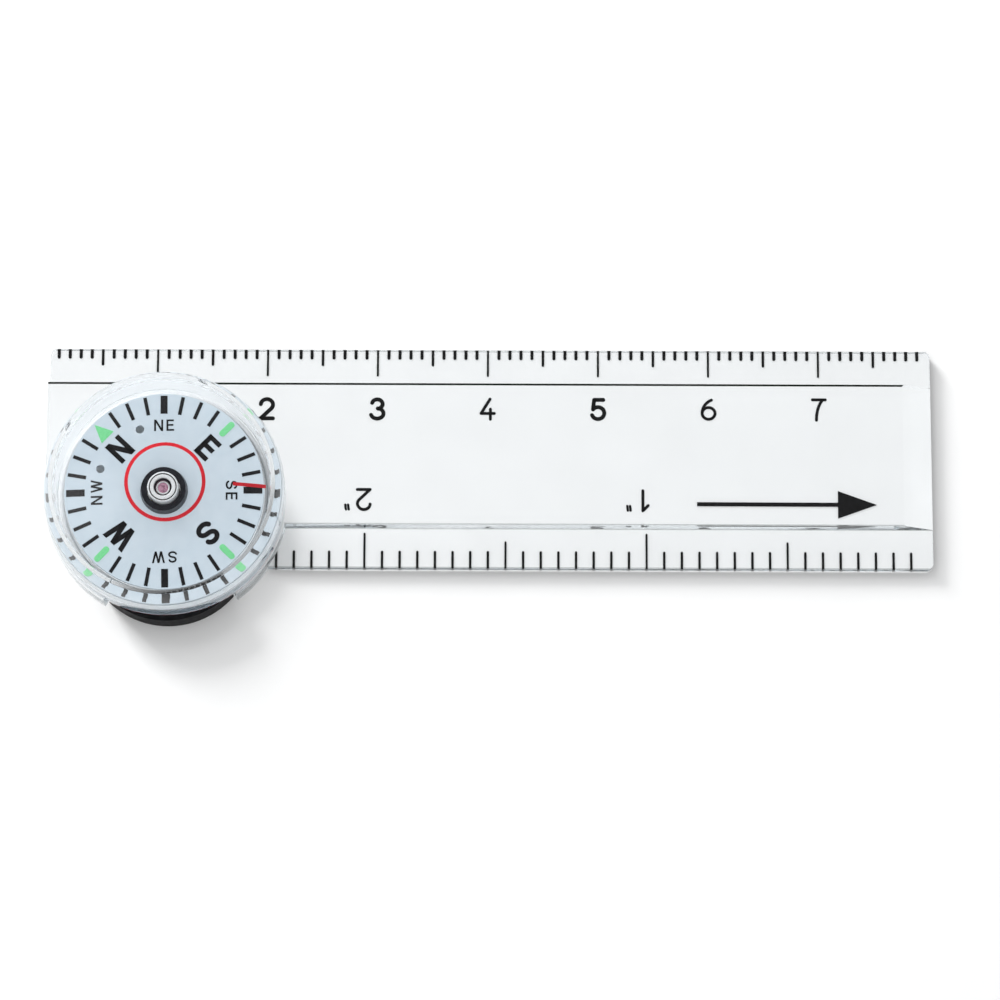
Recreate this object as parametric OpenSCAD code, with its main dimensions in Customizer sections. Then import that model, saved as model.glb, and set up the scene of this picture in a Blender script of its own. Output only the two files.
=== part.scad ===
// Ruler compass: a clear scale ruler with a domed, liquid-filled card capsule.
// Millimetres. The origin is on the capsule's pivot axis at the underside,
// +X runs along the ruler, +Y towards the centimetre edge and +Z is up.

/* [Ruler] */
// Length of the ruler
ruler_l = 79.8; // [70:0.2:110]
// Width of the ruler
ruler_w = 20.25; // [19:0.05:24]
// Thickness of the raised middle of the ruler
slab_t = 2.6; // [2:0.1:3]
// Thickness of the two thin scale edges
edge_t = 0.9; // [0.6:0.1:1.4]
// Width of the thin edge that carries the centimetre scale
cm_edge_w = 3.5; // [3:0.05:4]
// Width of the thin edge that carries the inch scale
inch_edge_w = 3.65; // [3.5:0.05:4]
// Length of the slope at the far end
end_slope_l = 2.7; // [1:0.1:5]
// Radius of the ruler's corners
corner_r = 0.6; // [0.2:0.1:1.5]
// Distance from the left end to the pivot axis
axis_from_end = 10.9; // [10.9:0.1:12]
// Distance from the inch edge to the pivot axis
axis_from_front = 6.0; // [5:0.1:8]

/* [Scales] */
// Distance that the left end lies inside the centimetre scale's zero
zero_inset = 0.3; // [0:0.05:0.5]
// Distance that the inch scale's zero lies inside the right end
inch_inset = 0.35; // [0:0.05:0.6]
// Depth of the engraved marks
engraving = 0.1; // [0.05:0.01:0.2]
// Width of the short marks of the centimetre scale
mm_mark_w = 0.28; // [0.15:0.01:0.4]
// Width of the short marks of the inch scale
sixteenth_mark_w = 0.22; // [0.15:0.01:0.4]
// Width of the longest marks of both scales
long_mark_w = 0.19; // [0.15:0.01:0.4]
// Length of the direction arrow
arrow_l = 16.2; // [10:0.1:20]
// Distance from the pivot axis to the arrow's point
arrow_reach = 63.9; // [50:0.1:64]

/* [Capsule] */
// Outer radius of the clear collar
collar_r = 10.75; // [10.6:0.05:10.85]
// Height at which the collar's side turns in to its shoulder
shoulder_z = 5.6; // [5.2:0.1:6.4]
// Height of the rim that stands round the dome
rim_z = 8.5; // [8.3:0.1:9]
// Outer radius of that rim
rim_r = 10.05; // [9.9:0.05:10.2]
// Height of the top of the dome
dome_top = 9.9; // [9.5:0.1:10.5]
// Radius of the dome's edge
dome_edge_r = 9.55; // [9.45:0.05:9.7]
// Height of the dome's edge
dome_edge_z = 7.75; // [7.6:0.05:8]
// Thickness of the collar's wall
wall_t = 1.25; // [1.15:0.05:1.5]
// Thickness of the domed window
window_t = 1.1; // [0.9:0.05:1.2]
// Radius of the housing's skirt, which stands in the ruler's socket
skirt_r = 8.8; // [8.7:0.05:8.9]
// Radius of the pale base
base_r = 8.25; // [8.2:0.05:8.3]
// First side of the socket's mouth, in degrees
mouth_from = -120; // [-135:1:-100]
// Last side of the socket's mouth, in degrees
mouth_to = -54; // [-80:1:-45]

/* [Card] */
// Radius of the card
card_r = 8.32; // [8.25:0.01:8.4]
// Height of the card's upper face
card_top = 3.8; // [3.75:0.05:4]
// Thickness of the card
card_t = 0.25; // [0.15:0.05:0.4]
// Direction of the card's north at rest, in degrees
north_az = 136.3; // [0:0.5:360]
// Number of divisions round the card
divisions = 32; // [16:16:64]
// Outer radius of the hub
hub_r = 1.95; // [1.9:0.05:2.1]
// Height of the hub above the card
hub_h = 1.05; // [0.9:0.05:1.2]

/* [Hidden] */
$fn = 128;
eps = 0.01;
inch = 25.4;

// Ruler
left_x = -axis_from_end;
front_y = -axis_from_front;
back_y = front_y + ruler_w;
right_x = left_x + ruler_l;
slab_w = ruler_w - cm_edge_w - inch_edge_w;
head_r = axis_from_end;
socket_gap = 0.05;
socket_r = skirt_r + socket_gap;
mouth_gap_deg = 0.5;

// Scales: the centimetre zero is just outside the left end, the inch zero just inside the right end
cm_zero_x = left_x - zero_inset;
cm_marks = floor(right_x - cm_zero_x - corner_r);
inch_zero_x = right_x - inch_inset;
inch_marks = floor((inch_zero_x - sqrt(head_r * head_r - front_y * front_y)) / (inch / 16));
mm_mark_l = 0.77;
half_cm_mark_l = 1.4;
cm_mark_l = 2.36;
sixteenth_mark_l = 1.7;
half_inch_mark_l = 2.6;
inch_mark_l = 3.35;
half_cm_mark_w = (mm_mark_w + long_mark_w) / 2;
arrow_shaft_w = 0.36;
arrow_head_l = 3.5;
arrow_head_w = 2.5;

// Capsule
cavity_r = collar_r - wall_t;
shoulder_bulge = 0.1;
rim_slope = 0.15;
rim_depth = rim_z - dome_edge_z;
dome_rise = dome_top - dome_edge_z;
dome_r = (dome_edge_r * dome_edge_r + dome_rise * dome_rise) / (2 * dome_rise);
dome_centre_z = dome_top - dome_r;
window_r = dome_r - window_t;
ledge_top = slab_t + 0.3;
seal_r = 0.17;
seal_z = 1.3;
gate_w = 2.3;
gate_l = 0.5;
gate_drop = 0.15;

// Base
floor_t = 0.8;
base_bore_r = 7.6;
boss_r = 2.2;
boss_top = 1.3;
band_in_r = 10.3;
band_out_r = 11.25;
band_arc_r = 7.6;
plug_r = 0.75;
plug_at = [-4.6, 3.2];

// Pivot
bush_r = 1.2;
bush_bottom = 0.4;
bush_top = 1.6;
pin_r = 0.4;
pin_bottom = 0.7;
pin_shoulder = 4.0;
pin_tip_z = 4.9;
pin_tip_r = 0.05;

// Jewel and its setting
jewel_r = 0.6;
jewel_bottom = 4.65;
jewel_top = 5.3;
jewel_gap = 0.06;
cup_clear = 0.02;
cup_mouth_r = 0.42;
setting_r = 1.3;
setting_bottom = 4.15;
setting_top = 5.85;
setting_mouth_r = 0.8;
setting_gap = 0.09;
groove_r = 1.12;
groove_w = 0.08;
groove_d = 0.06;
setting_chamfer = 0.08;

// Card unit
card_bottom = card_top - card_t;
sleeve_r = 1.8;
hub_top_r = hub_r - 0.1;
hub_bore_r = setting_r + setting_gap;
magnet_r = 3.8;
magnet_t = 1.0;
sleeve_bottom = card_bottom - magnet_t - 0.2;
hole_r = 0.35;
hole_at_r = 5.6;
hole_spread = 24.3;
mark_in_r = 6.57;
mark_out_r = 8.18;
thin_w = 0.3;
thick_w = 0.58;
ink_t = 0.03;
lume_t = 0.05;
lume_bar_w = 0.53;
lume_tri_w = 1.4;

// Index marks inside the window
ring_mark_r = 3.37;
mark_line_w = 0.32;
mark_ink_t = 0.03;
ring_lean = 0.9;
line_from_r = 6.2;
line_to_r = 9.0;

// Height of the inner dome surface at a distance r from the axis
function window_z(r) = dome_centre_z + sqrt(window_r * window_r - r * r);

// Points along the shoulder, a shallow arch between the collar's side and its rim
function shoulder_point(t) = let (across = [rim_r - collar_r, rim_z - shoulder_z], bulge = 4 * shoulder_bulge * t * (1 - t))
    [collar_r, shoulder_z] + t * across + bulge * [across[1], -across[0]] / norm(across);

// Upright bar with a half-round end, starting at the origin and running along +Y
module mark_2d(w, l) {
    translate([-w / 2, 0]) square([w, l - w / 2]);
    translate([0, l - w / 2]) circle(d = w, $fn = 24);
}

// Bar along +X between two radii
module radial_bar_2d(r1, r2, w) {
    translate([r1, -w / 2]) square([r2 - r1, w]);
}

module cm_marks_2d() {
    for (i = [1 : cm_marks]) {
        l = i % 10 == 0 ? cm_mark_l : (i % 5 == 0 ? half_cm_mark_l : mm_mark_l);
        w = i % 10 == 0 ? long_mark_w : (i % 5 == 0 ? half_cm_mark_w : mm_mark_w);
        translate([cm_zero_x + i, back_y]) rotate(180) mark_2d(w, l);
    }
}

module inch_marks_2d() {
    for (i = [1 : inch_marks]) {
        l = i % 16 == 0 ? inch_mark_l : (i % 8 == 0 ? half_inch_mark_l : sixteenth_mark_l);
        w = i % 8 == 0 ? long_mark_w : sixteenth_mark_w;
        translate([inch_zero_x - i * inch / 16, front_y]) mark_2d(w, l);
    }
}

module arrow_2d() {
    head_x = arrow_reach - arrow_head_l;
    translate([arrow_reach - arrow_l, -arrow_shaft_w / 2]) square([arrow_l - arrow_head_l, arrow_shaft_w]);
    polygon([[head_x, -arrow_head_w / 2], [arrow_reach, 0], [head_x, arrow_head_w / 2]]);
}

// Plate with three round corners. Its front left corner is left out, and the round head stands in for it
module plate(t) {
    translate([left_x, 0, 0]) cube([ruler_l, back_y - corner_r, t]);
    translate([left_x + corner_r, 0, 0]) cube([ruler_l - 2 * corner_r, back_y, t]);
    translate([0, front_y + corner_r, 0]) cube([right_x, ruler_w - 2 * corner_r, t]);
    translate([0, front_y, 0]) cube([right_x - corner_r, ruler_w, t]);
    for (at = [[left_x, back_y], [right_x, back_y], [right_x, front_y]]) {
        inward = [at[0] < 0 ? corner_r : -corner_r, at[1] < 0 ? corner_r : -corner_r];
        translate(concat(at + inward, 0)) cylinder(r = corner_r, h = t, $fn = 48);
    }
}

// Wedge that cuts the raised middle down to the thickness of the thin edges
module end_slope() {
    translate([0, back_y + 1, 0]) rotate([90, 0, 0]) linear_extrude(ruler_w + 2)
        polygon([[right_x - end_slope_l, slab_t], [right_x + 1, edge_t - (slab_t - edge_t) / end_slope_l],
                 [right_x + 1, slab_t + 1], [right_x - end_slope_l, slab_t + 1]]);
}

// Ring sector about the axis, from angle a1 to angle a2
module sector(r1, r2, h, a1, a2) {
    rotate([0, 0, a1]) rotate_extrude(angle = a2 - a1) translate([r1, 0]) square([r2 - r1, h]);
}

module ruler() {
    color([0.9, 0.94, 0.96, 0.5]) difference() {
        union() {
            plate(edge_t);
            translate([left_x, 0, 0]) cube([ruler_l, back_y - cm_edge_w, slab_t]);
            translate([0, front_y + inch_edge_w, 0]) cube([right_x, slab_w, slab_t]);
            cylinder(r = head_r, h = slab_t);
        }
        end_slope();
        translate([0, 0, -1]) cylinder(r = socket_r, h = slab_t + 2);
        translate([0, 0, -1]) sector(socket_r - 1, head_r + 1, slab_t + 2, mouth_from, mouth_to);
        translate([0, 0, -1]) linear_extrude(1 + engraving) {
            cm_marks_2d();
            inch_marks_2d();
            arrow_2d();
        }
    }
}

module cm_scale() {
    color([0.05, 0.05, 0.05]) linear_extrude(engraving) cm_marks_2d();
}

module inch_scale() {
    color([0.05, 0.05, 0.05]) linear_extrude(engraving) inch_marks_2d();
}

module direction_arrow() {
    color([0.05, 0.05, 0.05]) linear_extrude(engraving) arrow_2d();
}

// Half section of the collar's outside, from the axis out to the side and back over the rim
module collar_2d() {
    shoulder = [for (i = [0 : 8]) shoulder_point(i / 8)];
    foot_z = dome_edge_z - rim_depth / 2;
    polygon(concat([[0, slab_t], [collar_r, slab_t]], shoulder,
                   [[dome_edge_r + rim_slope, rim_z], [dome_edge_r - rim_slope / 2, foot_z], [0, foot_z]]));
}

module capsule_housing() {
    color([0.85, 0.92, 0.95, 0.4]) difference() {
        union() {
            rotate_extrude() collar_2d();
            intersection() {
                translate([0, 0, dome_centre_z]) sphere(r = dome_r, $fn = 256);
                translate([0, 0, slab_t]) cylinder(r = dome_edge_r + rim_slope / 3, h = dome_top);
            }
            cylinder(r = skirt_r, h = slab_t + eps);
            sector(skirt_r - 0.3, band_in_r, slab_t + eps, mouth_from + mouth_gap_deg, mouth_to - mouth_gap_deg);
            translate([-gate_w / 2, dome_edge_r - gate_l, dome_edge_z - 0.5])
                cube([gate_w, gate_l + 2 * rim_slope, 0.5 + rim_depth - gate_drop]);
        }
        intersection() {
            translate([0, 0, dome_centre_z]) sphere(r = window_r, $fn = 256);
            translate([0, 0, ledge_top]) cylinder(r = cavity_r, h = dome_top);
        }
        translate([0, 0, -1]) cylinder(r = base_r, h = ledge_top + 2);
        translate([0, 0, seal_z - seal_r]) cylinder(r = base_r + 2 * seal_r, h = 2 * seal_r);
    }
}

// Black strip on the outside of the housing's key, between the ends of the socket.
// Its outer face is an arc about a point in front of the axis, so the strip is thin at both ends.
module mouth_band() {
    middle = (mouth_from + mouth_to) / 2;
    shift = band_out_r - band_arc_r;
    color([0.08, 0.08, 0.09]) intersection() {
        sector(band_in_r, band_out_r + 1, slab_t, mouth_from + mouth_gap_deg, mouth_to - mouth_gap_deg);
        translate([shift * cos(middle), shift * sin(middle), -1]) cylinder(r = band_arc_r, h = slab_t + 2);
    }
}

// Red ring, and a red line along +X, both lying on the inner face of the dome.
// The ring is printed a little towards +X, so it leans about the dome's centre.
module index_marks() {
    r1 = ring_mark_r - mark_line_w / 2;
    r2 = ring_mark_r + mark_line_w / 2;
    step = (line_to_r - line_from_r) / 8;
    upper = [for (i = [0 : 8]) [line_from_r + i * step, window_z(line_from_r + i * step)]];
    lower = [for (i = [8 : -1 : 0]) [upper[i][0], upper[i][1] - mark_ink_t]];
    color([0.8, 0.15, 0.2]) {
        translate([0, 0, dome_centre_z]) rotate([0, ring_lean, 0]) translate([0, 0, -dome_centre_z])
            rotate_extrude() polygon([[r1, window_z(r1) - mark_ink_t], [r2, window_z(r2) - mark_ink_t],
                                      [r2, window_z(r2)], [r1, window_z(r1)]]);
        translate([0, mark_line_w / 2, 0]) rotate([90, 0, 0]) linear_extrude(mark_line_w)
            polygon(concat(lower, upper));
    }
}

module capsule_base() {
    color([0.88, 0.9, 0.91]) difference() {
        union() {
            difference() {
                cylinder(r = base_r, h = slab_t);
                translate([0, 0, floor_t]) cylinder(r = base_bore_r, h = slab_t);
            }
            cylinder(r = boss_r, h = boss_top);
        }
        translate([0, 0, bush_bottom]) cylinder(r = bush_r, h = boss_top);
        translate([plug_at[0], plug_at[1], -1]) cylinder(r = plug_r, h = floor_t + 2);
    }
}

module capsule_seal() {
    color([0.6, 0.62, 0.64]) rotate_extrude() translate([base_r + seal_r, seal_z]) circle(r = seal_r, $fn = 32);
}

module fill_plug() {
    color([0.1, 0.1, 0.1]) translate([plug_at[0], plug_at[1], 0]) cylinder(r = plug_r, h = floor_t);
}

module pivot_bush() {
    color([0.8, 0.65, 0.35]) difference() {
        translate([0, 0, bush_bottom]) cylinder(r = bush_r, h = bush_top - bush_bottom);
        translate([0, 0, pin_bottom]) cylinder(r = pin_r, h = bush_top);
    }
}

module pivot_pin() {
    color([0.75, 0.76, 0.78]) {
        translate([0, 0, pin_bottom]) cylinder(r = pin_r, h = pin_shoulder - pin_bottom);
        translate([0, 0, pin_shoulder]) cylinder(r1 = pin_r, r2 = pin_tip_r, h = pin_tip_z - pin_shoulder);
    }
}

module jewel_cup() {
    color([0.8, 0.25, 0.4]) difference() {
        translate([0, 0, jewel_bottom]) cylinder(r = jewel_r, h = jewel_top - jewel_bottom);
        translate([0, 0, jewel_bottom - eps]) cylinder(r1 = cup_mouth_r, r2 = pin_tip_r + cup_clear,
                                                      h = pin_tip_z + cup_clear - jewel_bottom + eps);
    }
}

module jewel_setting() {
    color([0.85, 0.85, 0.86]) difference() {
        union() {
            translate([0, 0, setting_bottom])
                cylinder(r = setting_r, h = setting_top - setting_chamfer - setting_bottom);
            translate([0, 0, setting_top - setting_chamfer])
                cylinder(r1 = setting_r, r2 = setting_r - setting_chamfer, h = setting_chamfer);
        }
        translate([0, 0, setting_bottom - 1]) cylinder(r = jewel_r + jewel_gap, h = setting_top);
        translate([0, 0, jewel_top]) cylinder(r = setting_mouth_r, h = setting_top);
        translate([0, 0, setting_top - groove_d]) difference() {
            cylinder(r = groove_r + groove_w / 2, h = 1);
            translate([0, 0, -1]) cylinder(r = groove_r - groove_w / 2, h = 3);
        }
    }
}

module card_hub() {
    color([0.06, 0.06, 0.07]) difference() {
        union() {
            translate([0, 0, sleeve_bottom]) cylinder(r = sleeve_r, h = card_top - sleeve_bottom);
            translate([0, 0, card_top]) cylinder(r1 = hub_r, r2 = hub_top_r, h = hub_h);
        }
        translate([0, 0, sleeve_bottom - 1]) cylinder(r = hub_bore_r, h = hub_h + card_top);
    }
}

module compass_card() {
    color([0.86, 0.89, 0.92]) difference() {
        translate([0, 0, card_bottom]) cylinder(r = card_r, h = card_t);
        translate([0, 0, card_bottom - 1]) cylinder(r = sleeve_r, h = card_t + 2);
        for (a = [-hole_spread, hole_spread]) {
            rotate([0, 0, north_az + a]) translate([hole_at_r, 0, card_bottom - 1])
                cylinder(r = hole_r, h = card_t + 2);
        }
    }
}

// Black marks at every division except the four main points, wider at the half points
module card_ticks() {
    quarter = divisions / 4;
    color([0.05, 0.05, 0.05]) translate([0, 0, card_top]) linear_extrude(ink_t)
        for (i = [0 : divisions - 1]) {
            if (i % quarter != 0) {
                w = i % (quarter / 2) == 0 ? thick_w : thin_w;
                rotate(north_az - i * 360 / divisions) radial_bar_2d(mark_in_r, mark_out_r, w);
            }
        }
}

// Triangle at north, round-ended bars at east, south and west
module luminous_marks() {
    color([0.45, 0.8, 0.5]) translate([0, 0, card_top]) {
        rotate(north_az) linear_extrude(lume_t)
            polygon([[mark_in_r, -lume_tri_w / 2], [mark_out_r, 0], [mark_in_r, lume_tri_w / 2]]);
        for (quarter_turn = [1 : 3]) {
            rotate(north_az - 90 * quarter_turn) linear_extrude(lume_t) {
                radial_bar_2d(mark_in_r + lume_bar_w / 2, mark_out_r - lume_bar_w / 2, lume_bar_w);
                translate([mark_in_r + lume_bar_w / 2, 0]) circle(d = lume_bar_w, $fn = 48);
                translate([mark_out_r - lume_bar_w / 2, 0]) circle(d = lume_bar_w, $fn = 48);
            }
        }
    }
}

module ring_magnet() {
    color([0.3, 0.3, 0.32]) difference() {
        translate([0, 0, card_bottom - magnet_t]) cylinder(r = magnet_r, h = magnet_t);
        translate([0, 0, card_bottom - magnet_t - 1]) cylinder(r = sleeve_r, h = magnet_t + 2);
    }
}

ruler();
cm_scale();
inch_scale();
direction_arrow();
capsule_housing();
index_marks();
mouth_band();
capsule_base();
capsule_seal();
fill_plug();
pivot_pin();
pivot_bush();
jewel_cup();
jewel_setting();
card_hub();
compass_card();
card_ticks();
luminous_marks();
ring_magnet();
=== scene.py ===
"""Clear scale ruler with a domed, liquid-filled compass capsule, lying on a pale table."""
import math

import bmesh
import bpy
from mathutils import Matrix, Vector


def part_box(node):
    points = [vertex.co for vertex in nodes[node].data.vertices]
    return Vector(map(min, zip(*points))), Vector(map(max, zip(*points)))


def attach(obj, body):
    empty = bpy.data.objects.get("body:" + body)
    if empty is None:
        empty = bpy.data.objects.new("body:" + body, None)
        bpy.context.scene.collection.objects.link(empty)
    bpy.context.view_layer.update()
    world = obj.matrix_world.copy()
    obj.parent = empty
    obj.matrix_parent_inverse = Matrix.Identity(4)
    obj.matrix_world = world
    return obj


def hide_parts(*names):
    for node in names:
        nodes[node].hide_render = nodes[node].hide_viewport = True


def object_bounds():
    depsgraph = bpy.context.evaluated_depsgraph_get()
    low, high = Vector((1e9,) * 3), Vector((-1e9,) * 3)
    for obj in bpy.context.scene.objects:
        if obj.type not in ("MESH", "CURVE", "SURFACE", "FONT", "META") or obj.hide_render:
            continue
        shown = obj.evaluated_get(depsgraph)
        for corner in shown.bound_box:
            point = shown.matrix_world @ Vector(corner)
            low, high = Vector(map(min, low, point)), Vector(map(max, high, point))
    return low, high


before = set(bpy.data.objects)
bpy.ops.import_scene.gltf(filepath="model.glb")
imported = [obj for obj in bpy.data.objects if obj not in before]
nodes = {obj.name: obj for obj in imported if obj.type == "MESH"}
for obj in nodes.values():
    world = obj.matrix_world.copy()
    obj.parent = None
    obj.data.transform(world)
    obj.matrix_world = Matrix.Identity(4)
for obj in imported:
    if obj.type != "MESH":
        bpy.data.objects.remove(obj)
cad_low, cad_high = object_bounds()

MM = 0.001

# Driving dimensions in millimetres, in the CAD frame
slab_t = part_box("mouth_band")[1].z / MM
edge_t = 0.9
cm_edge_w = 3.5
inch_edge_w = 3.65
end_slope_l = 2.7
corner_r = 0.6
socket_r = 8.85
mouth = (-120.0, -54.0)
mouth_gap_deg = 0.5
ruler_w = 20.25
ruler_low = [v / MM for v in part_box("ruler")[0]]
ruler_high = [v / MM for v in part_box("ruler")[1]]
collar_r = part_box("capsule_housing")[1].x / MM
dome_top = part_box("capsule_housing")[1].z / MM
card_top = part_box("compass_card")[1].z / MM
head_r = -ruler_low[0]
shoulder_z = 5.6
shoulder_bulge = 0.1
rim_z = 8.5
rim_r = 10.05
dome_edge_r = 9.55
dome_edge_z = 7.75
cavity_r = 9.5
window_t = 1.1
ledge_top = slab_t + 0.3
skirt_r = 8.8
base_r = 8.25
band_in_r = 10.3
setting_mouth_r = 0.8
jewel_hole_r = 0.66
pin_tip_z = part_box("pivot_pin")[1].z / MM
north_az = 136.3
cm_zero_x = -11.2
inch_zero_x = 68.55
cm_digit_y = 8.7
inch_digit_y = 0.3
inch_sign_y = -0.4

# Camera: degrees above the table, distance and aim in millimetres
camera_elevation = 77.0
camera_distance = 390.0
camera_aim_x = 0.94
camera_aim_y = 0.5
camera_roll = 0.2
camera_lens = 155.4

# Clear pieces are drawn this much larger, so that no two surfaces lie on top of each other
skin = 0.002


# ---------------------------------------------------------------- mesh helpers
def add_mesh(name, verts, faces):
    """New object from millimetre points, with outward normals."""
    mesh = bpy.data.meshes.new(name)
    mesh.from_pydata([tuple(c * MM for c in v) for v in verts], [], faces)
    obj = bpy.data.objects.new(name, mesh)
    bpy.context.scene.collection.objects.link(obj)
    work = bmesh.new()
    work.from_mesh(mesh)
    bmesh.ops.recalc_face_normals(work, faces=work.faces)
    work.to_mesh(mesh)
    work.free()
    return obj


def bake(obj):
    """Replaces the object's mesh with its modified shape."""
    bpy.context.view_layer.update()
    graph = bpy.context.evaluated_depsgraph_get()
    obj.data = bpy.data.meshes.new_from_object(obj.evaluated_get(graph))
    obj.modifiers.clear()


def combine(obj, other, operation):
    """Boolean of two solids; the second one is used up."""
    step = obj.modifiers.new("combine", "BOOLEAN")
    step.operation = operation
    step.solver = "EXACT"
    step.object = other
    bake(obj)
    bpy.data.objects.remove(other)


def soften(obj, angle=25.0):
    """Smooth shading, kept sharp where faces meet at more than the angle."""
    obj.data.shade_smooth()
    obj.data.set_sharp_from_angle(angle=math.radians(angle))


def span_faces(n, first=0):
    """Faces of the solid between two rings of n points, which are numbered from first."""
    near = [first + i for i in range(n)]
    far = [first + n + i for i in range(n)]
    sides = [[near[i - 1], near[i], far[i], far[i - 1]] for i in range(n)]
    return [near[::-1], far] + sides


def span(name, near, far):
    """Solid between two rings of matching points."""
    return add_mesh(name, near + far, span_faces(len(near)))


def prism(name, outline, low, high):
    """Upright solid over a closed outline."""
    return span(name, [(x, y, low) for x, y in outline], [(x, y, high) for x, y in outline])


def bow(cx, cy, rx, ry, start, end, steps=None):
    """Points along part of an ellipse, angles in degrees; about ten degrees apart if steps isn't given."""
    steps = steps or max(4, int(abs(end - start) / 10))
    angles = [math.radians(start + (end - start) * i / steps) for i in range(steps + 1)]
    return [(cx + rx * math.cos(a), cy + ry * math.sin(a)) for a in angles]


def arc(cx, cy, r, start, end, steps):
    """Points along part of a circle, angles in degrees."""
    return bow(cx, cy, r, r, start, end, steps)


def sector(name, r1, r2, low, high, a1, a2, steps=96):
    """Ring sector between two radii and two angles."""
    return prism(name, arc(0, 0, r1, a1, a2, steps) + arc(0, 0, r2, a2, a1, steps), low, high)


def lathe(name, profile, segments=320):
    """Closed solid from a profile that starts and ends on the axis, with no corner at the far left."""
    verts = [(0, 0, profile[0][1])]
    rings = []
    for r, z in profile[1:-1]:
        rings.append(len(verts))
        for i in range(segments):
            a = 2 * math.pi * (i + 0.5) / segments
            verts.append((r * math.cos(a), r * math.sin(a), z))
    verts.append((0, 0, profile[-1][1]))
    last = len(verts) - 1
    faces = []
    for i in range(segments):
        j = (i + 1) % segments
        faces.append([0, rings[0] + i, rings[0] + j])
        for a, b in zip(rings[:-1], rings[1:]):
            faces.append([a + i, b + i, b + j, a + j])
        faces.append([rings[-1] + i, last, rings[-1] + j])
    return add_mesh(name, verts, faces)


def ring_lathe(name, profile, segments=160):
    """Closed ring from a profile that comes back to its first point and stays off the axis."""
    points = profile[:-1]
    n = len(points)
    verts = []
    for i in range(segments):
        a = 2 * math.pi * i / segments
        verts += [(r * math.cos(a), r * math.sin(a), z) for r, z in points]
    faces = []
    for i in range(segments):
        j = (i + 1) % segments
        faces += [[i * n + k, j * n + k, j * n + (k + 1) % n, i * n + (k + 1) % n] for k in range(n)]
    return add_mesh(name, verts, faces)


def fillet(before, corner, after, r, steps=4):
    """Points of a small arc that rounds a corner of a profile."""
    p, c, q = Vector(before), Vector(corner), Vector(after)
    u, v = (p - c).normalized(), (q - c).normalized()
    half = u.angle(v) / 2
    start, end = c + u * r / math.tan(half), c + v * r / math.tan(half)
    centre = c + (u + v).normalized() * r / math.sin(half)
    points = []
    for i in range(steps + 1):
        p = start.lerp(end, i / steps) - centre
        points.append(tuple(centre + p.normalized() * r))
    return points


def rounded(points, radii):
    """Profile with its inner corners rounded by the given radii; 0 keeps a corner."""
    out = [points[0]]
    for i in range(1, len(points) - 1):
        if radii.get(i):
            out += fillet(points[i - 1], points[i], points[i + 1], radii[i])
        else:
            out.append(points[i])
    return out + [points[-1]]


# ------------------------------------------------------------ material helpers
class Material:
    """A node material with a few short cuts."""

    def __init__(self, name):
        self.data = bpy.data.materials.new(name)
        self.data.use_nodes = True
        self.tree = self.data.node_tree
        self.tree.nodes.clear()
        self.out = self.add("ShaderNodeOutputMaterial")
        self.coords = self.add("ShaderNodeTexCoord").outputs["Object"]

    def add(self, kind, **values):
        node = self.tree.nodes.new(kind)
        for key, value in values.items():
            setattr(node, key, value)
        return node

    def join(self, source, target):
        self.tree.links.new(source, target)

    def noise(self, size, detail=4.0):
        """Noise whose features are about size millimetres."""
        node = self.add("ShaderNodeTexNoise")
        node.inputs["Scale"].default_value = 1 / (size * MM)
        node.inputs["Detail"].default_value = detail
        node.inputs["Roughness"].default_value = 0.55
        self.join(self.coords, node.inputs["Vector"])
        return node.outputs["Fac"]

    def ramp(self, value, low, high):
        """Maps 0.3..0.7 of a value to low..high, which are numbers or colours."""
        if isinstance(low, (int, float)):
            node = self.add("ShaderNodeMapRange")
            node.inputs["From Min"].default_value = 0.3
            node.inputs["From Max"].default_value = 0.7
            node.inputs["To Min"].default_value = low
            node.inputs["To Max"].default_value = high
            self.join(value, node.inputs["Value"])
            return node.outputs["Result"]
        node = self.add("ShaderNodeValToRGB")
        node.color_ramp.elements[0].position = 0.3
        node.color_ramp.elements[1].position = 0.7
        node.color_ramp.elements[0].color = (*low, 1)
        node.color_ramp.elements[1].color = (*high, 1)
        self.join(value, node.inputs["Fac"])
        return node.outputs["Color"]

    def bump(self, value, depth):
        """Normal from a height map; depth is in millimetres."""
        node = self.add("ShaderNodeBump")
        node.inputs["Distance"].default_value = depth * MM
        node.inputs["Strength"].default_value = 1.0
        self.join(value, node.inputs["Height"])
        return node.outputs["Normal"]


def solid_material(name, low, high, rough, size, bump=0.0, bump_size=0.1,
                   metallic=0.0, coat=0.0, ior=1.5, shine=0.5):
    """Opaque surface: colour between low and high, roughness between rough[0] and rough[1].
    size and bump_size are the widths of the spots and of the bumps, in millimetres."""
    m = Material(name)
    base = m.add("ShaderNodeBsdfPrincipled")
    m.join(m.ramp(m.noise(size), low, high), base.inputs["Base Color"])
    m.join(m.ramp(m.noise(size * 0.7, 6), *rough), base.inputs["Roughness"])
    base.inputs["Metallic"].default_value = metallic
    base.inputs["Coat Weight"].default_value = coat
    base.inputs["IOR"].default_value = ior
    base.inputs["Specular IOR Level"].default_value = shine
    if bump:
        m.join(m.bump(m.noise(bump_size), bump), base.inputs["Normal"])
    m.join(base.outputs[0], m.out.inputs["Surface"])
    return m.data


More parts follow.
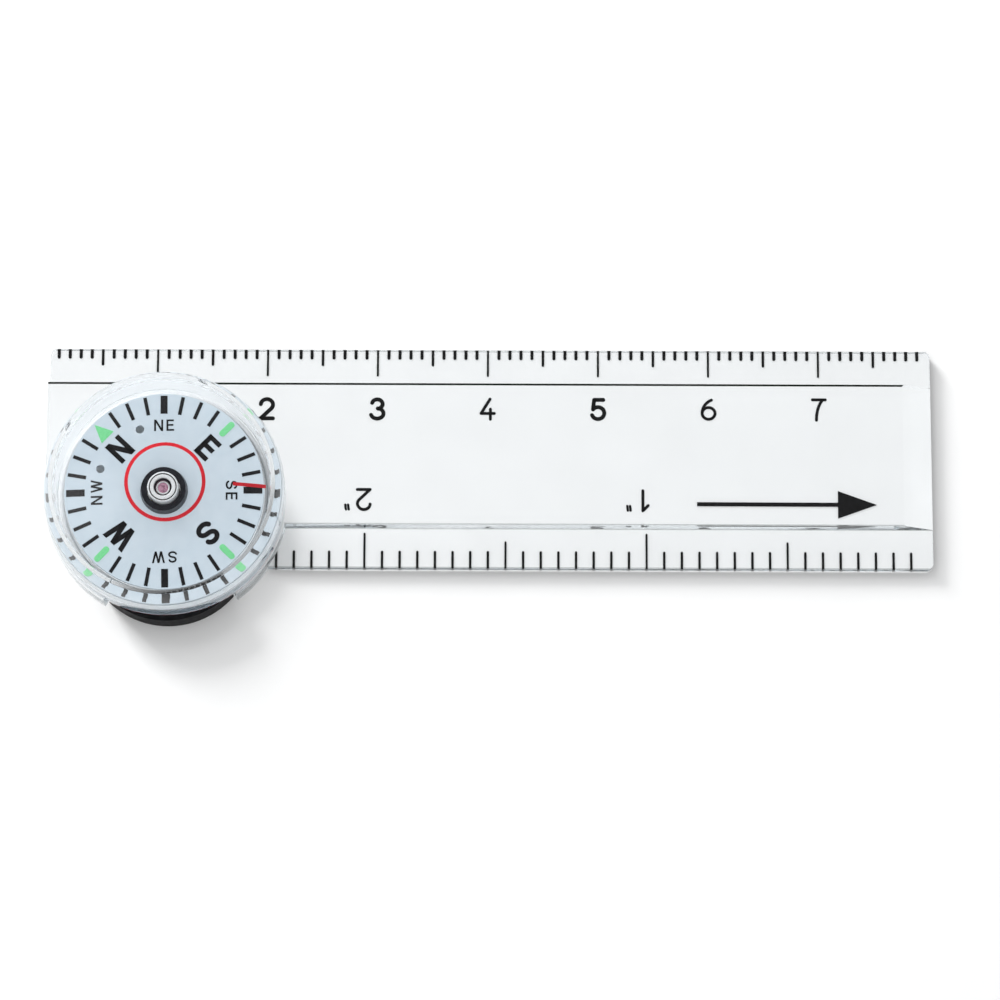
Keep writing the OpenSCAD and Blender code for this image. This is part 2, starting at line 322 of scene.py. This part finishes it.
def clear_material(name, ior, tint, light, outside_light=None):
    """Clear plastic. Rays to lamps and from matt surfaces pass straight through, dimmed to the given part.
    outside_light is that part for rays that come from outside, where it differs."""
    m = Material(name)
    glass = m.add("ShaderNodeBsdfGlass")
    glass.inputs["IOR"].default_value = ior
    low = tuple(c * 0.985 for c in tint)
    m.join(m.ramp(m.noise(6.0, 3), low, tint), glass.inputs["Color"])
    m.join(m.ramp(m.noise(2.5, 6), 0.0, 0.003), glass.inputs["Roughness"])
    through = m.add("ShaderNodeBsdfTransparent")
    through.inputs["Color"].default_value = (light, light, light, 1)
    if outside_light is not None:
        side = m.add("ShaderNodeMix", data_type="RGBA")
        m.join(m.add("ShaderNodeNewGeometry").outputs["Backfacing"], side.inputs["Factor"])
        side.inputs["A"].default_value = (outside_light, outside_light, outside_light, 1)
        side.inputs["B"].default_value = (light, light, light, 1)
        m.join(side.outputs["Result"], through.inputs["Color"])
    path = m.add("ShaderNodeLightPath")
    either = m.add("ShaderNodeMath", operation="MAXIMUM")
    m.join(path.outputs["Is Shadow Ray"], either.inputs[0])
    m.join(path.outputs["Is Diffuse Ray"], either.inputs[1])
    mix = m.add("ShaderNodeMixShader")
    m.join(either.outputs[0], mix.inputs["Fac"])
    m.join(glass.outputs[0], mix.inputs[1])
    m.join(through.outputs[0], mix.inputs[2])
    m.join(mix.outputs[0], m.out.inputs["Surface"])
    return m.data


def dress(obj, *materials):
    """Gives the object these materials, in the order of its faces' material numbers."""
    obj.data.materials.clear()
    for material in materials:
        obj.data.materials.append(material)


# ------------------------------------------------------------------- materials
acrylic = clear_material("clear_acrylic", 1.49, (0.975, 0.985, 0.99), 0.965)
acrylic_rim = clear_material("clear_acrylic_rim", 1.49, (0.9, 0.91, 0.92), 0.965, 0.05)
# The two ridge glasses below carry painted shade: their dark tints draw the dark lines that light leaves
# along the ridges into the clear plastic's colour
ridge_painted_shade = clear_material("clear_ridge_painted_shade", 1.49, (0.02, 0.025, 0.02), 0.8)
ridge_half_painted_shade = clear_material("clear_ridge_half_painted_shade", 1.49, (0.6, 0.62, 0.62), 0.9)
dome_acrylic = clear_material("clear_dome_acrylic", 1.49, (0.985, 0.99, 0.993), 0.97)
dome_liquid = clear_material("acrylic_to_liquid", 1.49 / 1.42, (0.985, 0.992, 1.0), 0.98)

black_fill = solid_material("black_fill", (0.003, 0.003, 0.003), (0.009, 0.009, 0.01), (0.5, 0.7),
                            0.4, 0.004, 0.08, shine=0.02)
red_ink = solid_material("red_ink", (0.5, 0.015, 0.025), (0.6, 0.022, 0.035), (0.4, 0.55),
                         0.5, 0.003, 0.1, shine=0.05)
black_base = solid_material("black_base", (0.004, 0.004, 0.0045), (0.009, 0.009, 0.01), (0.45, 0.6),
                            0.8, 0.004, 0.15, shine=0.06)
pale_base = solid_material("pale_base", (0.78, 0.8, 0.81), (0.84, 0.86, 0.87), (0.4, 0.55),
                           0.8, 0.004, 0.15)
seal_rubber = solid_material("seal_rubber", (0.6, 0.61, 0.62), (0.7, 0.71, 0.72), (0.6, 0.8),
                             0.3, 0.004, 0.1)
plug_rubber = solid_material("plug_rubber", (0.012, 0.012, 0.012), (0.03, 0.03, 0.03), (0.5, 0.7),
                             0.3, 0.004, 0.1)
steel = solid_material("steel", (0.55, 0.56, 0.58), (0.7, 0.71, 0.73), (0.12, 0.28),
                       0.2, 0.002, 0.05, metallic=1.0)
brass = solid_material("brass", (0.6, 0.42, 0.14), (0.75, 0.55, 0.22), (0.2, 0.35),
                       0.2, 0.002, 0.05, metallic=1.0)
bright_metal = solid_material("bright_metal", (0.72, 0.75, 0.76), (0.84, 0.87, 0.88), (0.25, 0.4),
                              0.15, 0.002, 0.05, metallic=0.25)
black_hub = solid_material("black_hub", (0.005, 0.006, 0.009), (0.012, 0.013, 0.018), (0.3, 0.45),
                           0.5, 0.004, 0.12, shine=0.25)
white_card = solid_material("white_card", (0.50, 0.585, 0.65), (0.54, 0.62, 0.68), (0.55, 0.7),
                            0.9, 0.003, 0.1)
black_ink = solid_material("black_ink", (0.004, 0.004, 0.005), (0.012, 0.012, 0.014), (0.5, 0.65),
                           0.3, 0.002, 0.05, shine=0.05)
green_lume = solid_material("green_lume", (0.13, 0.55, 0.22), (0.22, 0.68, 0.32), (0.65, 0.8),
                            0.12, 0.01, 0.06)
magnet = solid_material("magnet", (0.05, 0.05, 0.055), (0.1, 0.1, 0.11), (0.4, 0.6),
                        0.2, 0.01, 0.06, metallic=0.8)
ruby = solid_material("ruby", (0.07, 0.015, 0.04), (0.75, 0.4, 0.55), (0.04, 0.1),
                      0.3, 0.05, 0.3, coat=0.8, ior=1.76)

finishes = {
    "cm_scale": black_fill, "inch_scale": black_fill, "direction_arrow": black_fill,
    "index_marks": red_ink, "mouth_band": black_base, "capsule_base": pale_base, "capsule_seal": seal_rubber,
    "fill_plug": plug_rubber, "pivot_pin": steel, "pivot_bush": brass, "jewel_cup": ruby,
    "jewel_setting": bright_metal, "card_hub": black_hub, "compass_card": white_card,
    "card_ticks": black_ink, "luminous_marks": green_lume, "ring_magnet": magnet,
}
for name, finish in finishes.items():
    dress(nodes[name], finish)


# ----------------------------------------------------------------------- ruler
def ruler_piece():
    """Blade with thin edges, a sloped right end and a round head with the capsule's socket."""
    left, right = ruler_low[0] - skin, ruler_high[0] + skin
    back = ruler_high[1] + skin
    front = ruler_high[1] - ruler_w - skin
    low_y, high_y = front + inch_edge_w, back - cm_edge_w
    section = [(front, 0.4), (front, -skin), (back, -skin), (back, edge_t), (high_y, edge_t),
               (high_y, slab_t), (low_y, slab_t), (low_y, edge_t), (front, edge_t), (front, 0.4)]
    # Radius of each corner, by its place in the section
    radii = {1: 0.04, 2: 0.04, 3: 0.07, 4: 0.05, 5: 0.24, 6: 0.1, 7: 0.08, 8: 0.12}
    section = rounded(section, radii)[:-1]
    obj = span("ruler_clear", [(left, y, z) for y, z in section], [(right, y, z) for y, z in section])
    r = corner_r
    outline = [(left, 0), (0, 0), (0, front)]
    outline += arc(right - r, front + r, r, 270, 360, 12)
    outline += arc(right - r, back - r, r, 0, 90, 12)
    outline += arc(left + r, back - r, r, 90, 180, 12)
    combine(obj, prism("outline", outline, -1, slab_t + 1), "INTERSECT")
    head = rounded([(0, -skin), (head_r, -skin), (head_r, slab_t), (0, slab_t)], {1: 0.04, 2: 0.1})
    combine(obj, lathe("head", head), "UNION")
    rise = slab_t - edge_t
    wedge = [(right - end_slope_l, slab_t), (right + 1, edge_t - rise / end_slope_l),
             (right + 1, slab_t + 1), (right - end_slope_l, slab_t + 1)]
    wedge = span("wedge", [(x, front - 1, z) for x, z in wedge], [(x, back + 1, z) for x, z in wedge])
    combine(obj, wedge, "DIFFERENCE")
    bore = [(0, -1), (socket_r, -1), (socket_r, slab_t + 1), (0, slab_t + 1)]
    combine(obj, lathe("bore", bore), "DIFFERENCE")
    combine(obj, sector("gap", socket_r - 1, head_r + 1, -1, slab_t + 1, *mouth), "DIFFERENCE")
    soften(obj, 20)
    dress(obj, acrylic, acrylic_rim, ridge_painted_shade, ridge_half_painted_shade)
    # The back ridge's rounding gets a near-black painted shade, the other long roundings a half-dark painted
    # shade, and the front and right rims block light
    for face in obj.data.polygons:
        x, y, z = (c / MM for c in face.center)
        nx, _, nz = face.normal
        slanted = 0.02 < abs(nz) < 0.998
        to_long_edge = min(abs(y - edge) for edge in (low_y, front, back, high_y))
        if math.hypot(x, y) < head_r + 0.1:
            face.material_index = 0
        elif slanted and abs(y - high_y) < 0.3 and z > slab_t - 0.3:
            face.material_index = 2
        elif slanted and abs(nx) < 0.3 and to_long_edge < 0.2:
            face.material_index = 3
        elif abs(nz) < 0.1 and (y < front + corner_r or x > right - corner_r):
            face.material_index = 1
    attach(obj, "baseplate")
    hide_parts("ruler")


# --------------------------------------------------------------------- capsule
def housing_piece():
    """Collar, rim and domed window in one closed shell, and the skirt and key below it.
    The inner faces carry the step from acrylic to liquid."""
    shoulder_steps, dome_steps = 16, 64
    rise = dome_top - dome_edge_z
    dome_r = (dome_edge_r ** 2 + rise ** 2) / (2 * rise)
    centre_z = dome_top - dome_r
    inner_r = dome_r - window_t - 0.04
    shoulder = []
    run, lift = rim_r - collar_r, rim_z - shoulder_z
    length = math.hypot(run, lift)
    for i in range(shoulder_steps + 1):
        t = i / shoulder_steps
        bulge = 4 * shoulder_bulge * t * (1 - t) / length
        shoulder.append((collar_r + t * run + bulge * lift, shoulder_z + t * lift - bulge * run))
    dome, window = [], []
    for i in range(1, dome_steps + 1):
        t = math.sin(math.pi / 2 * i / dome_steps)
        r = dome_edge_r * t
        dome.append((r, centre_z + math.sqrt(dome_r ** 2 - r ** 2)))
        r = cavity_r * t
        window.append((r, centre_z + math.sqrt(inner_r ** 2 - r ** 2)))
    rim = [(dome_edge_r, dome_edge_z), (dome_edge_r + 0.15, rim_z), (rim_r, rim_z), shoulder[-2]]
    profile = [(0, dome_top)] + dome[:-1]
    profile += rounded(rim, {1: 0.06, 2: 0.05})[:-1]
    profile += shoulder[-2:0:-1]
    profile += rounded([shoulder[1], shoulder[0], (collar_r, shoulder_z - 1)], {1: 0.15})[1:-1]
    foot = [(collar_r, slab_t + 1), (collar_r, slab_t + skin), (cavity_r, slab_t + skin)]
    profile += rounded(foot, {1: 0.08})[1:-1]
    # A point on the flat underside keeps the soft shading of the rounded foot at its edge
    profile += [(cavity_r + 0.1, slab_t + skin), (base_r, slab_t + skin)]
    profile += [(base_r, ledge_top), (cavity_r - 0.12, ledge_top), (cavity_r, ledge_top + 0.12)]
    profile += window[::-1]
    profile += [(0, centre_z + inner_r)]
    obj = lathe("housing_clear", profile)
    soften(obj, 20)
    dress(obj, dome_acrylic, dome_liquid)
    for face in obj.data.polygons:
        r = math.hypot(face.center.x, face.center.y) / MM
        z = face.center.z / MM
        inside = z < centre_z + math.sqrt(inner_r ** 2 - min(r, cavity_r) ** 2) + 0.05
        if r < cavity_r + 0.01 and z > ledge_top - 0.01 and inside:
            face.material_index = 1
    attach(obj, "baseplate")
    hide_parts("capsule_housing")
    skirt = sector("housing_skirt", base_r + skin, skirt_r, 0, slab_t, mouth[1], 360 + mouth[0], 240)
    key_ends = (mouth[0] + mouth_gap_deg, mouth[1] - mouth_gap_deg)
    key = sector("key", base_r + skin, band_in_r - skin, 0, slab_t, *key_ends)
    combine(skirt, key, "UNION")
    soften(skirt, 25)
    dress(skirt, dome_acrylic)
    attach(skirt, "baseplate")


def setting_piece():
    """Turned metal ring with a bright rim, a groove and a recess, the groove and the recess painted black as
    painted shade.
    """
    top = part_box("jewel_setting")[1].z / MM
    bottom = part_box("jewel_setting")[0].z / MM
    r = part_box("jewel_setting")[1].x / MM
    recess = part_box("jewel_cup")[1].z / MM
    groove_out, groove_in, groove_z = r - 0.13, r - 0.23, top - 0.06
    recess_r = setting_mouth_r - 0.05
    profile = [(r - 0.1, bottom), (r, bottom), (r, top - 0.08), (r - 0.05, top), (groove_out, top),
               (groove_out - 0.02, groove_z), (groove_in + 0.02, groove_z), (groove_in, top),
               (setting_mouth_r, top), (recess_r, top - 0.08), (recess_r, recess), (jewel_hole_r, recess),
               (jewel_hole_r, bottom), (r - 0.1, bottom)]
    obj = ring_lathe("setting_ring", rounded(profile, {2: 0.03, 3: 0.02, 4: 0.015, 7: 0.015, 8: 0.03}))
    soften(obj, 30)
    dress(obj, bright_metal, black_hub)
    # The groove and the recess take the black hub finish: painted shade where they lie in shadow
    for face in obj.data.polygons:
        away = math.hypot(face.center.x, face.center.y) / MM
        z = face.center.z / MM
        groove_painted_shade = groove_in < away < groove_out and z < top - 0.01
        recess_painted_shade = away < setting_mouth_r - 0.01 and z < top - 0.06
        face.material_index = 1 if groove_painted_shade or recess_painted_shade else 0
    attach(obj, "setting")
    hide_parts("jewel_setting")


def jewel_piece():
    """Ruby cup with a bevel ring drawn in the pale metal finish as a painted highlight, a domed top and a
    conical seat for the pin below.
    """
    low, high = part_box("jewel_cup")
    r, bottom, top = high.x / MM, low.z / MM, high.z / MM
    seat_z = pin_tip_z + 0.02
    profile = [(0, top), (0.15, top - 0.005), (0.3, top - 0.025), (0.42, top - 0.06), (0.44, top - 0.02),
               (0.5, top), (r - 0.03, top - 0.02), (r, top - 0.08), (r, bottom), (0.42, bottom),
               (0.07, seat_z), (0, seat_z)]
    obj = lathe("jewel", profile, 96)
    soften(obj, 30)
    dress(obj, ruby, bright_metal)
    # The bevel ring takes the pale metal finish instead of the ruby: a painted highlight
    for face in obj.data.polygons:
        away = math.hypot(face.center.x, face.center.y) / MM
        face.material_index = 1 if 0.43 < away < 0.58 and face.center.z / MM > top - 0.06 else 0
    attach(obj, "jewel")
    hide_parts("jewel_cup")


# -------------------------------------------------------------------- lettering
# Middle lines of the characters, one unit tall; each character is a list of strokes
digits = {
    "1": [[(0.0, 0.74), (0.26, 1.0)], [(0.26, 1.0), (0.26, 0.0)]],
    "2": [bow(0.31, 0.71, 0.31, 0.29, 175, -40) + [(0.0, 0.0)], [(0.0, 0.0), (0.63, 0.0)]],
    "3": [bow(0.3, 0.755, 0.27, 0.245, 165, -80), bow(0.3, 0.265, 0.32, 0.265, 85, -165)],
    "4": [[(0.43, 1.0), (0.0, 0.29)], [(0.0, 0.29), (0.64, 0.29)], [(0.45, 0.5), (0.45, 0.0)]],
    "5": [[(0.58, 1.0), (0.12, 1.0)], [(0.12, 1.0), (0.06, 0.5)], bow(0.31, 0.31, 0.32, 0.31, 140, -160)],
    "6": [bow(0.31, 0.29, 0.31, 0.29, 0, 360), bow(0.72, 0.3, 0.72, 0.7, 178, 112)],
    "7": [[(0.0, 1.0), (0.62, 1.0)], bow(0.95, 0.0, 0.77, 1.25, 127, 180)],
    '"': [[(0.0, 1.0), (0.08, 0.35)], [(0.4, 1.0), (0.48, 0.35)]],
}
letters = {
    "N": [[(0, 0), (0, 1)], [(0, 1), (0.64, 0)], [(0.64, 0), (0.64, 1)]],
    "E": [[(0, 0), (0, 1)], [(0, 1), (0.5, 1)], [(0, 0.52), (0.46, 0.52)], [(0, 0), (0.52, 0)]],
    "S": [bow(0.31, 0.755, 0.29, 0.245, 15, 250) + bow(0.3, 0.25, 0.32, 0.25, 75, -165)],
    "W": [[(0, 1), (0.26, 0)], [(0.26, 0), (0.5, 1)], [(0.5, 1), (0.74, 0)], [(0.74, 0), (1.0, 1)]],
}


def ribbon(points, width):
    """Outline of a round-ended stroke along a line of points."""
    pts = [Vector(p) for p in points]
    left, right = [], []
    for i, p in enumerate(pts):
        along = (pts[min(i + 1, len(pts) - 1)] - pts[max(i - 1, 0)]).normalized()
        across = Vector((-along.y, along.x)) * width / 2
        left.append(p + across)
        right.append(p - across)
    out = list(left)
    for end, first in ((pts[-1], left[-1]), (pts[0], right[0])):
        turn = math.atan2(first.y - end.y, first.x - end.x)
        for k in range(1, 8):
            a = turn - math.pi * k / 8
            out.append(end + Vector((math.cos(a), math.sin(a))) * width / 2)
        if end is pts[-1]:
            out += right[::-1]
    return [tuple(p) for p in out]


def bar(points, width):
    """Outlines of straight strokes whose ends are cut level, or upright for a level stroke."""
    (x1, y1), (x2, y2) = points
    half = width / 2
    if y1 == y2:
        left, right, low, high = x1 - half, x2 + half, y1 - half, y1 + half
        return [(left, low), (right, low), (right, high), (left, high)]
    if y1 > y2:
        (x1, y1), (x2, y2) = (x2, y2), (x1, y1)
    if x1 != x2:
        half *= math.hypot(x2 - x1, y2 - y1) / (y2 - y1)
    rise = width / 2
    return [(x1 - half, y1 - rise), (x1 + half, y1 - rise), (x2 + half, y2 + rise), (x2 - half, y2 + rise)]


def lettering(name, text, style, tall, stroke, at, turn, low, depth, body, finish, wide=1.0, gap=0.28):
    """Printed characters, centred on a point and turned in degrees, from the height low up to low + depth.
    Sizes are in millimetres. wide stretches the characters; gap is the space between them, as a part
    of their height."""
    scale = tall - stroke
    outlines, x = [], 0.0
    for letter in text:
        strokes = style[letter]
        for points in strokes:
            placed = [(x + px * scale * wide, py * scale) for px, py in points]
            straight = style is letters and len(placed) == 2
            outlines.append(bar(placed, stroke) if straight else ribbon(placed, stroke))
        x += max(px for points in strokes for px, _ in points) * scale * wide + stroke + gap * tall
    xs = [px for outline in outlines for px, _ in outline]
    ys = [py for outline in outlines for _, py in outline]
    middle = Vector(((min(xs) + max(xs)) / 2, (min(ys) + max(ys)) / 2))
    spin = Matrix.Rotation(math.radians(turn), 2)
    verts, faces = [], []
    for outline in outlines:
        flat = [spin @ (Vector(p) - middle) + Vector(at) for p in outline]
        first, n = len(verts), len(flat)
        verts += [(p.x, p.y, low) for p in flat] + [(p.x, p.y, low + depth) for p in flat]
        faces += span_faces(n, first)
    obj = add_mesh(name, verts, faces)
    dress(obj, finish)
    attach(obj, body)
    return obj


def ruler_lettering():
    """Numbers of both scales, on the underside so that they touch the map."""
    for n in range(2, 8):
        stroke = 0.36 if n in (2, 3, 5) else 0.27
        at = (cm_zero_x + 10 * n, cm_digit_y)
        obj = lettering(f"cm_digit_{n}", str(n), digits, 2.15, stroke, at, 0, 0.0, 0.04,
                        "baseplate", black_fill)
    for n in (1, 2):
        x = inch_zero_x - 25.4 * n - 0.1
        # Name, character, place, height and stroke
        digit = ("digit", str(n), (x, inch_digit_y), 2.1, 0.27)
        sign = ("quotes", '"', (x - 1.5, inch_sign_y), 0.85, 0.22)
        for label, text, at, tall, stroke in (digit, sign):
            obj = lettering(f"inch_{label}_{n}", text, digits, tall, stroke, at, 180, 0.0, 0.04,
                            "baseplate", black_fill)


def card_lettering():
    """The eight points of the card, with their heads outward."""
    # Words, turn from the main points, distance from the axis, height and stroke
    main = (("N", "E", "S", "W"), 0, 5.1, 2.04, 0.41)
    between = (("NE", "SE", "SW", "NW"), 45, 5.56, 0.98, 0.15)
    for i in range(4):
        for words, shift, r, tall, stroke in (main, between):
            az = north_az - 90 * i - shift
            at = (r * math.cos(math.radians(az)), r * math.sin(math.radians(az)))
            obj = lettering("card_" + words[i], words[i], letters, tall, stroke, at, az - 90, card_top, 0.03,
                            "card", black_ink, wide=1.1)


# ------------------------------------------------------------------------ stage
def table():
    """Pale floor under the object."""
    far, floor_z = 900, -0.01
    corners = [(-far, -far, floor_z), (far, -far, floor_z), (far, far, floor_z), (-far, far, floor_z)]
    floor = add_mesh("floor", corners, [[0, 1, 2, 3]])
    dress(floor, solid_material("pale_floor", (0.86, 0.86, 0.86), (0.88, 0.88, 0.88), (0.85, 0.95), 8.0))


def studio():
    """Even light for matt surfaces, and what the polished surfaces mirror."""
    world = bpy.data.worlds.new("studio")
    bpy.context.scene.world = world
    world.use_nodes = True
    tree = world.node_tree
    tree.nodes.clear()
    join = tree.links.new
    out = tree.nodes.new("ShaderNodeOutputWorld")
    direction = tree.nodes.new("ShaderNodeTexCoord").outputs["Generated"]

    light = tree.nodes.new("ShaderNodeBackground")
    light.inputs["Color"].default_value = (0.985, 0.995, 1.0, 1)
    light.inputs["Strength"].default_value = 0.66

    # Polished surfaces mirror a bright horizon, a darker ceiling and one soft box on the left
    split = tree.nodes.new("ShaderNodeSeparateXYZ")
    join(direction, split.inputs[0])
    sky = tree.nodes.new("ShaderNodeMapRange")
    sky.interpolation_type = "SMOOTHSTEP"
    for key, value in (("From Min", 0.3), ("From Max", 0.9), ("To Min", 0.95), ("To Max", 0.3)):
        sky.inputs[key].default_value = value
    join(split.outputs["Z"], sky.inputs["Value"])
    near = tree.nodes.new("ShaderNodeVectorMath")
    near.operation = "DOT_PRODUCT"
    near.inputs[1].default_value = Vector((-0.62, 0.1, 0.78)).normalized()
    join(direction, near.inputs[0])
    box = tree.nodes.new("ShaderNodeMapRange")
    box.interpolation_type = "SMOOTHSTEP"
    for key, value in (("From Min", 0.94), ("From Max", 0.99), ("To Min", 0.0), ("To Max", 1.1)):
        box.inputs[key].default_value = value
    join(near.outputs["Value"], box.inputs["Value"])
    total = tree.nodes.new("ShaderNodeMath")
    join(sky.outputs["Result"], total.inputs[0])
    join(box.outputs["Result"], total.inputs[1])
    mirror = tree.nodes.new("ShaderNodeBackground")
    join(total.outputs[0], mirror.inputs["Strength"])

    path = tree.nodes.new("ShaderNodeLightPath")
    polished = tree.nodes.new("ShaderNodeMath")
    polished.operation = "MAXIMUM"
    join(path.outputs["Is Glossy Ray"], polished.inputs[0])
    join(path.outputs["Is Transmission Ray"], polished.inputs[1])
    choose = tree.nodes.new("ShaderNodeMixShader")
    join(polished.outputs[0], choose.inputs["Fac"])
    join(light.outputs[0], choose.inputs[1])
    join(mirror.outputs[0], choose.inputs[2])
    join(choose.outputs[0], out.inputs["Surface"])


def lamps():
    """Three soft lamps. Only the ruler's rim, the base and the band throw a shadow in the low one's light."""
    low_pieces = bpy.data.collections.new("low_pieces")
    for piece in (bpy.data.objects["ruler_clear"], nodes["capsule_base"], nodes["mouth_band"]):
        low_pieces.objects.link(piece)
    middle = (cad_low + cad_high) / 2
    # Name, place from the object's middle, width in metres and power in watts
    sizes = (("key", (-0.3, 0.5, 0.5), 0.4, 1.5),
             ("fill", (0.1, -0.1, 0.8), 0.5, 0.5),
             ("low", (-0.45, 0.56, 0.24), 0.26, 7.2))
    for name, offset, size, power in sizes:
        lamp = bpy.data.lights.new(name, "AREA")
        lamp.shape = "SQUARE"
        lamp.size = size
        lamp.energy = power
        obj = bpy.data.objects.new(name, lamp)
        obj.location = middle + Vector(offset)
        obj.rotation_mode = "QUATERNION"
        obj.rotation_quaternion = (-Vector(offset)).to_track_quat("-Z", "Y")
        obj.visible_glossy = False
        obj.visible_transmission = False
        bpy.context.scene.collection.objects.link(obj)
        if name == "low":
            obj.light_linking.blocker_collection = low_pieces


def camera():
    """Long lens that looks down on the object from the front."""
    elevation = math.radians(camera_elevation)
    back = Vector((0, -math.cos(elevation), math.sin(elevation)))
    middle_x = (cad_low.x + cad_high.x) / 2
    aim = Vector((middle_x + camera_aim_x * MM, camera_aim_y * MM, 0))
    lens = bpy.data.cameras.new("camera")
    lens.sensor_width = 36
    lens.lens = camera_lens
    lens.clip_start = 0.01
    obj = bpy.data.objects.new("camera", lens)
    obj.location = aim + back * camera_distance * MM
    obj.rotation_mode = "QUATERNION"
    roll = Matrix.Rotation(math.radians(camera_roll), 3, back).to_quaternion()
    obj.rotation_quaternion = roll @ (-back).to_track_quat("-Z", "Y")
    bpy.context.scene.collection.objects.link(obj)
    bpy.context.scene.camera = obj


ruler_piece()
housing_piece()
setting_piece()
jewel_piece()
ruler_lettering()
card_lettering()
table()
studio()
lamps()
camera()
scene = bpy.context.scene
scene.view_settings.view_transform = "Standard"
# Light bounces many times along the clear blade before it leaves through an edge
scene.cycles.max_bounces = 72
scene.cycles.transmission_bounces = 32
scene.cycles.glossy_bounces = 64
scene.cycles.transparent_max_bounces = 32
